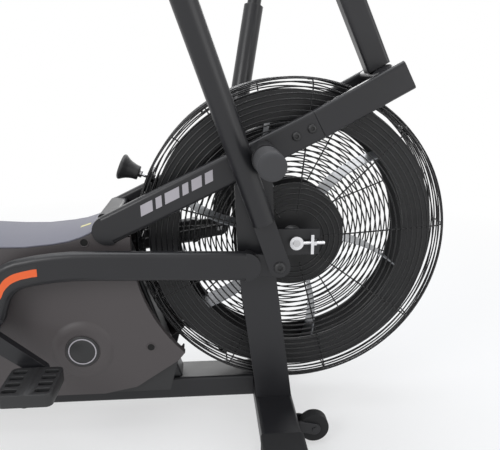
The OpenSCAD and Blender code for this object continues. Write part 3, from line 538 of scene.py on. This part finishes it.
# ---------- foot pegs ----------
def pegs():
    for low, high in sorted(islands("foot_pegs"), key=lambda b: b[0].y):
        s = -1 if low.y < 0 else 1
        side = "left" if s < 0 else "right"
        radius, length = (high.x - low.x) / 2, high.y - low.y
        inner = min(abs(low.y), abs(high.y))
        where = pointing(((low.x + high.x) / 2, s * inner, (low.z + high.z) / 2), (0, s, 0))
        profile = [(radius * 0.45, 0), (radius * 0.9, 0), (radius * 0.97, 0.0015), (radius, 0.004)]
        groove_from, groove_to = 0.012, length - 0.016
        grooves = 9
        for k in range(grooves):
            h = groove_from + (groove_to - groove_from) * k / (grooves - 1)
            floor = radius - 0.0005
            profile += [(radius, h - 0.0016), (floor, h - 0.0008), (floor, h + 0.0008), (radius, h + 0.0016)]
        dome = [math.pi / 2 * k / 8 for k in range(9)]
        tip = 0.009
        profile += [(radius - tip + tip * math.cos(a), length - tip + tip * math.sin(a)) for a in dome]
        profile.append((0, length + 0.0004))
        add_piece(f"{side}_peg", lathe(profile, where, 72), MATERIALS["peg_rubber"], "frame", ["foot_pegs"])


pegs()


# ---------- lock pin ----------
def lock_pin():
    axis = Vector(JOINTS["lock_pin_pull"]["axis"])
    where = pointing(FAN, axis, (0, 1, 0))
    far = max((v.co - FAN).dot(axis) for v in NODES["lock_pin"].data.vertices)
    near = min((v.co - FAN).dot(axis) for v in NODES["lock_pin"].data.vertices)
    base = far - 0.043
    rod = [(0, near), (0.0034, near), (0.004, near + 0.0015), (0.004, base + 0.002), (0, base + 0.002)]
    add_piece("lock_rod", lathe(rod, where, 32), PLAIN_CHROME, "lock_pin", ["lock_pin"])
    nut = [(0.0075, base - 0.007), (0.0082, base - 0.006), (0.0082, base - 0.001), (0.0075, base)]
    add_piece("lock_nut", lathe(nut, where, 6), MATERIALS["zinc"], "lock_pin")
    knob = curve_through([(0.0005, base), (0.0125, base), (0.0148, base + 0.002), (0.0160, base + 0.012),
                          (0.0200, base + 0.024), (0.0255, base + 0.033), (0.0270, base + 0.036),
                          (0.0262, base + 0.0395), (0.0200, base + 0.0423), (0.0005, base + 0.043)], 5)
    flutes = lambda a, h: -0.06 * max(0.0, math.cos(3 * a)) * max(0.0, min(1.0, (h - base) / 0.03))
    add_piece("lock_knob", lathe(knob, where, 72, flutes), MATERIALS["black_plastic"], "lock_pin")


lock_pin()


# ---------- softened mouldings ----------
def mouldings():
    softened("top_cover", 1.5 * MM, angle_over(40), 3)
    softened("console", 3 * MM, angle_over(40))
    softened("saddle_base", 2 * MM, angle_over(50), 3)
    for side in SIDES:
        softened(f"{side}_pedal", 1.2 * MM, angle_over(50), 2)


mouldings()


# ---------- markings ----------
# Places are measured from the fan axle.
RAIL_SLOPE = 26
RAIL_MARKS_AT = Vector((-0.236, 0, 0.105))
COVER_PATCH_OVER = Vector((-0.436, 0.004, 0.2))
LABEL_START, LABEL_STEP, LABEL_COLUMNS = -0.575, 0.005, 16
LABEL_SCAN_LOW, LABEL_SCAN_STEPS = -0.11, 130
LEVEL_WITHIN = 0.0004


def caster(node):
    mesh = NODES[node].data
    return BVHTree.FromPolygons([v.co for v in mesh.vertices], [tuple(p.vertices) for p in mesh.polygons])


def block(x, y, wide, tall):
    return [(x - wide / 2, y - tall / 2), (x + wide / 2, y - tall / 2), (x + wide / 2, y + tall / 2),
            (x - wide / 2, y + tall / 2)]


def rail_marks():
    """Plain slanted blocks along the near rail."""
    slope = math.radians(RAIL_SLOPE)
    centre = FAN + RAIL_MARKS_AT
    centre.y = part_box("rails")[0].y
    where = pointing(centre, (0, -1, 0), (math.cos(slope), 0, math.sin(slope)))
    tall, slant, gap, start = 0.020, 0.009, 0.007, -0.083
    for k, wide in enumerate((0.026, 0.013, 0.031, 0.013, 0.022, 0.017)):
        low, high = -tall / 2, tall / 2
        outline = [(start, low), (start + wide, low), (start + wide + slant, high), (start + slant, high)]
        add_piece(f"rail_mark_{k}", slab(outline, where, 0.0003), PALE_PRINT, "frame")
        start += wide + gap


def link_label():
    """A black patch with an orange band on the outer face of the near link."""
    tree = caster("left_link")
    spans = []
    for i in range(LABEL_COLUMNS):
        x = FAN.x + LABEL_START + LABEL_STEP * i
        hits = []
        for k in range(LABEL_SCAN_STEPS):
            z = FAN.z + LABEL_SCAN_LOW + MM * k
            hit = tree.ray_cast(Vector((x, -1, z)), Vector((0, 1, 0)))[0]
            if hit:
                hits.append((hit.y, z))
        if hits:
            face = min(y for y, z in hits)
            level = [z for y, z in hits if y < face + LEVEL_WITHIN]
            spans.append((x, face, min(level), max(level)))
    face = sorted(s[1] for s in spans)[len(spans) // 2]
    spans = [s for s in spans if abs(s[1] - face) < LEVEL_WITHIN]
    where = pointing((0, face, 0), (0, -1, 0))
    for name, low, high, thick, material in (("link_patch", 0.1, 0.9, 0.0003, BLACK_PRINT),
                                             ("link_band", 0.3, 0.66, 0.0005, ORANGE_PRINT)):
        outline = [(x, a + low * (b - a)) for x, _, a, b in spans]
        outline += [(x, a + high * (b - a)) for x, _, a, b in spans[::-1]]
        add_piece(name, slab(outline, where, thick), material, "left_link")


def cover_patch():
    """Small yellow patch on top of the cover."""
    top = caster("top_cover")
    hit, normal, _, _ = top.ray_cast(FAN + COVER_PATCH_OVER, Vector((0, 0, -1)))
    if hit:
        where = pointing(hit, normal, (1, 0, 0))
        add_piece("cover_patch", slab(block(0, 0, 0.022, 0.014), where, 0.0003), YELLOW_PRINT, "frame")


rail_marks()
link_label()
cover_patch()


# ---------- console display ----------
def display():
    low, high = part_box("console_screen")
    normal = -Vector(JOINTS["middle_key_press"]["axis"])
    mesh = NODES["console_screen"].data
    top = max((v.co).dot(normal) for v in mesh.vertices)
    centre = (Vector(low) + Vector(high)) / 2
    centre += (top - centre.dot(normal)) * normal
    where = pointing(centre, normal, (0, 1, 0))
    for row, (y, wide) in enumerate(((0.014, 0.022), (-0.012, 0.016))):
        for i in range(4):
            x = (i - 1.5) * (wide + 0.006)
            bar = slab(block(x, y, wide, 0.005), where, 0.0002)
            add_piece(f"display_bar_{row}_{i}", bar, WELL_SHADE_AND_LCD_INK, "frame")


display()


# ---------- saddle ----------
CUSHION_CAP = 5 * MM
CUSHION_WIDE, CUSHION_TALL = 0.965, 0.93  # share of the CAD pad that the cloth starts from
CUSHION_VOXEL = 5 * MM
CUSHION_FRAMES = 20
SEAM_UP = 0.019


def applied(obj):
    graph = bpy.context.evaluated_depsgraph_get()
    mesh = bpy.data.meshes.new_from_object(obj.evaluated_get(graph))
    obj.modifiers.clear()
    obj.data = mesh


def cushion():
    scene = bpy.context.scene
    low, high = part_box("saddle_pad")
    centre = (Vector(low) + Vector(high)) / 2
    mesh = NODES["saddle_pad"].data.copy()
    for v in mesh.vertices:
        v.co.x = centre.x + CUSHION_WIDE * (v.co.x - centre.x)
        v.co.y = centre.y + CUSHION_WIDE * (v.co.y - centre.y)
        v.co.z = low.z + CUSHION_TALL * (v.co.z - low.z)
    piece = add_piece("saddle_cushion", mesh, MATERIALS["saddle"], "saddle", ["saddle_pad"], 80)
    fine = piece.modifiers.new("remesh", "REMESH")
    fine.mode, fine.voxel_size = "VOXEL", CUSHION_VOXEL
    applied(piece)
    before = [v.co.copy() for v in piece.data.vertices]
    puff = piece.modifiers.new("puff", "CLOTH")
    puff.settings.use_pressure = True
    puff.settings.uniform_pressure_force = 4
    puff.settings.effector_weights.gravity = 0
    puff.point_cache.frame_start, puff.point_cache.frame_end = 1, CUSHION_FRAMES
    for number in range(1, CUSHION_FRAMES + 1):
        scene.frame_set(number)
    applied(piece)
    for v, old in zip(piece.data.vertices, before):
        step = v.co - old
        if step.length > CUSHION_CAP:
            step *= CUSHION_CAP / step.length
        v.co = old + step
        v.co.z = max(v.co.z, low.z)
    scene.frame_set(1)
    round_off = piece.modifiers.new("round", "SUBSURF")
    round_off.levels = round_off.render_levels = 1
    applied(piece)
    piece.data.materials.clear()
    piece.data.materials.append(MATERIALS["saddle"])
    piece.data.shade_smooth()
    seam(piece, centre, low.z + SEAM_UP)


def seam(piece, centre, level):
    """Piping round the side of the cushion."""
    mesh = piece.data
    tree = BVHTree.FromPolygons([v.co for v in mesh.vertices], [tuple(p.vertices) for p in mesh.polygons])
    line = []
    for k in range(200):
        a = math.tau * k / 200
        out = Vector((math.cos(a), math.sin(a), 0))
        hit = tree.ray_cast(Vector((centre.x, centre.y, level)) + 0.4 * out, -out)[0]
        if hit:
            line.append(hit)
    add_piece("saddle_piping", sweep(line, 1.6 * MM, True, 8), MATERIALS["saddle"], "saddle")


cushion()


# ---------- light, floor and camera ----------
def area_light(name, place, target, size, power, colour=(1, 1, 1)):
    light = bpy.data.lights.new(name, "AREA")
    light.shape = "RECTANGLE"
    light.size, light.size_y = size
    light.energy = power
    light.color = colour
    lamp = bpy.data.objects.new(name, light)
    lamp.location = place
    lamp.rotation_euler = (Vector(target) - Vector(place)).to_track_quat("-Z", "Y").to_euler()
    bpy.context.scene.collection.objects.link(lamp)


def floor_paint():
    """Pale floor that keeps the shadow near the object and fades to white away from it."""
    made = bpy.data.materials.new("floor_paint")
    made.use_nodes = True
    tree = made.node_tree
    paint = next(n for n in tree.nodes if n.type == "BSDF_PRINCIPLED")
    paint.inputs["Base Color"].default_value = (0.9, 0.9, 0.9, 1)
    paint.inputs["Roughness"].default_value = 0.75
    paint.inputs["Specular IOR Level"].default_value = 0.1
    glow = tree.nodes.new("ShaderNodeEmission")
    glow.inputs["Color"].default_value = (1, 1, 1, 1)
    place = tree.nodes.new("ShaderNodeNewGeometry")
    far = tree.nodes.new("ShaderNodeVectorMath")
    far.operation = "LENGTH"
    fade = tree.nodes.new("ShaderNodeMapRange")
    for name, value in (("From Min", 0.9), ("From Max", 2.4), ("To Min", 0.55), ("To Max", 1.0)):
        fade.inputs[name].default_value = value
    blend = tree.nodes.new("ShaderNodeMixShader")
    out = next(n for n in tree.nodes if n.type == "OUTPUT_MATERIAL")
    tree.links.new(place.outputs["Position"], far.inputs[0])
    tree.links.new(far.outputs["Value"], fade.inputs["Value"])
    tree.links.new(fade.outputs["Result"], blend.inputs[0])
    tree.links.new(paint.outputs[0], blend.inputs[1])
    tree.links.new(glow.outputs[0], blend.inputs[2])
    tree.links.new(blend.outputs[0], out.inputs[0])
    return made


def studio():
    area_light("overhead", (0.0, 0.3, 2.6), (0.0, 0.0, 0.4), (2.6, 1.8), 38, (0.95, 0.97, 1.0))
    area_light("key", (-1.8, -2.2, 1.9), (0.1, 0.0, 0.45), (1.4, 1.4), 34)
    area_light("fill", (2.2, -1.8, 1.2), (0.2, 0.0, 0.45), (1.6, 1.6), 14)
    area_light("rear", (0.6, 2.4, 1.8), (0.1, 0.0, 0.5), (2.0, 1.2), 22)

    world = bpy.data.worlds.new("studio")
    bpy.context.scene.world = world
    world.use_nodes = True
    tree = world.node_tree
    tree.nodes.clear()
    path = tree.nodes.new("ShaderNodeLightPath")
    soft = tree.nodes.new("ShaderNodeBackground")
    soft.inputs["Color"].default_value = (0.9, 0.94, 1.0, 1)
    soft.inputs["Strength"].default_value = 0.42
    white = tree.nodes.new("ShaderNodeBackground")
    white.inputs["Color"].default_value = (1, 1, 1, 1)
    seen = path.outputs["Is Camera Ray"]
    for ray in ("Is Glossy Ray", "Is Transmission Ray"):
        either = tree.nodes.new("ShaderNodeMath")
        either.operation = "MAXIMUM"
        tree.links.new(seen, either.inputs[0])
        tree.links.new(path.outputs[ray], either.inputs[1])
        seen = either.outputs[0]
    blend = tree.nodes.new("ShaderNodeMixShader")
    out = tree.nodes.new("ShaderNodeOutputWorld")
    tree.links.new(seen, blend.inputs[0])
    tree.links.new(soft.outputs[0], blend.inputs[1])
    tree.links.new(white.outputs[0], blend.inputs[2])
    tree.links.new(blend.outputs[0], out.inputs[0])

    size = 30
    floor = bpy.data.objects.new("floor", mesh_of([(-size, -size, -MM), (size, -size, -MM), (size, size, -MM),
                                                   (-size, size, -MM)], [(0, 1, 2, 3)]))
    floor.data.materials.append(floor_paint())
    bpy.context.scene.collection.objects.link(floor)


def camera():
    data = bpy.data.cameras.new("camera")
    data.lens = 40.1  # with the place and turn below, the view of the picture
    eye = bpy.data.objects.new("camera", data)
    eye.location = FAN + Vector((-0.178, -1.168, 0.321))
    eye.rotation_euler = (math.radians(75.2), 0, math.radians(-4.53))
    bpy.context.scene.collection.objects.link(eye)
    bpy.context.scene.camera = eye


studio()
camera()
bpy.context.scene.view_settings.view_transform = "Standard"
